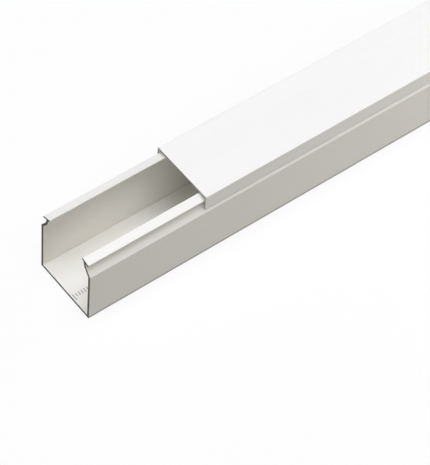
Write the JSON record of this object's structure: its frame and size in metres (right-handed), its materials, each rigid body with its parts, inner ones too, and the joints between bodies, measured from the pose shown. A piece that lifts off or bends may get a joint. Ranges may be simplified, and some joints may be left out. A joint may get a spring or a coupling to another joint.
{
  "type": "cable trunking",
  "caption": "Rectangular cable trunking: a deep U channel with clip lips and a flat cover that hooks over them, shown drawn back from one end.",
  "frame": {"origin": "middle of the channel's underside, the face that goes against the wall", "axes": "+Y along the stock, away from the open end; +X across the width; +Z from the back face to the cover"},
  "size_m": [0.06, 2.104, 0.0662],
  "materials": {
    "channel_pvc": "satin rigid pvc, extruded",
    "cover_pvc": "satin rigid pvc, extruded"
  },
  "bodies": {
    "channel": {"channel": "channel_pvc"},
    "cover": {"cover": "cover_pvc"}
  },
  "joints": [
    {"name": "cover_slide", "type": "slide", "parent": "channel", "child": "cover", "axis": [0, 1, 0], "range_m": [-0.104, 1.796]}
  ]
}
